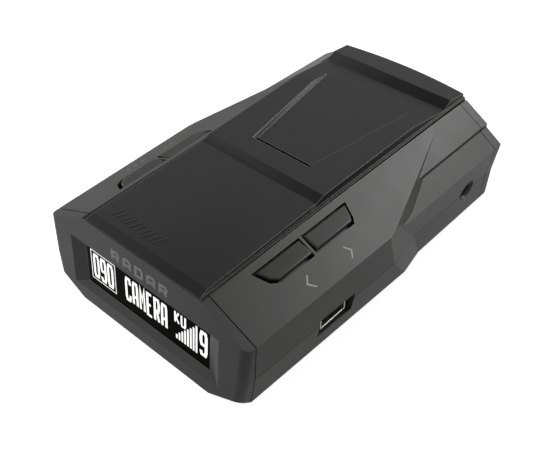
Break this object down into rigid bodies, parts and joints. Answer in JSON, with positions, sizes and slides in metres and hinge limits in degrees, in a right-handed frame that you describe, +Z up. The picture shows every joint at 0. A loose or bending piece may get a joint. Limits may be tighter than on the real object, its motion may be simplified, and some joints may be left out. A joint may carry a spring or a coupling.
{
  "type": "radar detector",
  "caption": "Dashboard radar detector: faceted two-part housing, front display bezel, black top cover, sprung top buttons, side sockets and rubber feet.",
  "frame": {"origin": "middle of the footprint, on the plane that the rubber feet stand on", "axes": "+X across, towards the side with the sockets; +Y from the display to the antenna end; +Z up"},
  "size_m": [0.0708, 0.107, 0.0322],
  "materials": {
    "housing_plastic": "moulded, satin",
    "bezel_plastic": "moulded, fine texture",
    "display_glass": "dark tinted window",
    "display_panel": "display behind the window",
    "ribbon": "flat film cable",
    "cover_plastic": "semi-gloss black",
    "dark_window": "infrared-clear black",
    "clear_lens": "polished lens",
    "sensor_plastic": "moulded",
    "cast_horn": "die-cast",
    "tin_shield": "tinned sheet",
    "circuit_board": "green solder mask",
    "chip": "moulded epoxy",
    "ceramic_antenna": "ceramic patch",
    "speaker_frame": "moulded frame and cone",
    "capacitor_can": "sleeved can",
    "button_plastic": "moulded, satin",
    "switch_plastic": "moulded",
    "connector_metal": "plated shell",
    "connector_plastic": "moulded",
    "connector_pin": "plated",
    "screw_steel": "zinc plated",
    "foot_rubber": "soft pad"
  },
  "bodies": {
    "housing": {"upper_housing": "housing_plastic", "lower_housing": "housing_plastic", "front_bezel": "bezel_plastic", "display_window": "display_glass", "display_module": "display_panel", "display_ribbon": "ribbon", "top_cover": "cover_plastic", "rear_frame": "housing_plastic", "rear_window": "dark_window", "laser_lens": "clear_lens", "laser_sensor": "sensor_plastic", "horn_antenna": "cast_horn", "rf_shield": "tin_shield", "main_board": "circuit_board", "processor_chip": "chip", "gps_antenna": "ceramic_antenna", "speaker": "speaker_frame", "supercapacitor": "capacitor_can", "tact_switches": "switch_plastic", "button_board_right": "circuit_board", "button_board_left": "circuit_board", "usb_socket": "connector_metal", "usb_tongue": "connector_plastic", "dc_jack": "connector_plastic", "dc_jack_pin": "connector_pin", "board_screws": "screw_steel", "housing_screws": "screw_steel", "rubber_feet": "foot_rubber"},
    "right_button_front": {"right_button_front": "button_plastic"},
    "right_button_rear": {"right_button_rear": "button_plastic"},
    "left_button_front": {"left_button_front": "button_plastic"},
    "left_button_rear": {"left_button_rear": "button_plastic"}
  },
  "joints": [
    {"name": "right_press_front", "type": "slide", "parent": "housing", "child": "right_button_front", "axis": [-0.4178, 0.0272, -0.9082], "range_m": [0, 0.0005], "stiffness_N_per_m": 1500, "springref_m": -0.0002},
    {"name": "right_press_rear", "type": "slide", "parent": "housing", "child": "right_button_rear", "axis": [-0.4178, 0.0272, -0.9082], "range_m": [0, 0.0005], "stiffness_N_per_m": 1500, "springref_m": -0.0002},
    {"name": "left_press_front", "type": "slide", "parent": "housing", "child": "left_button_front", "axis": [0.4178, 0.0272, -0.9082], "range_m": [0, 0.0005], "stiffness_N_per_m": 1500, "springref_m": -0.0002},
    {"name": "left_press_rear", "type": "slide", "parent": "housing", "child": "left_button_rear", "axis": [0.4178, 0.0272, -0.9082], "range_m": [0, 0.0005], "stiffness_N_per_m": 1500, "springref_m": -0.0002}
  ]
}
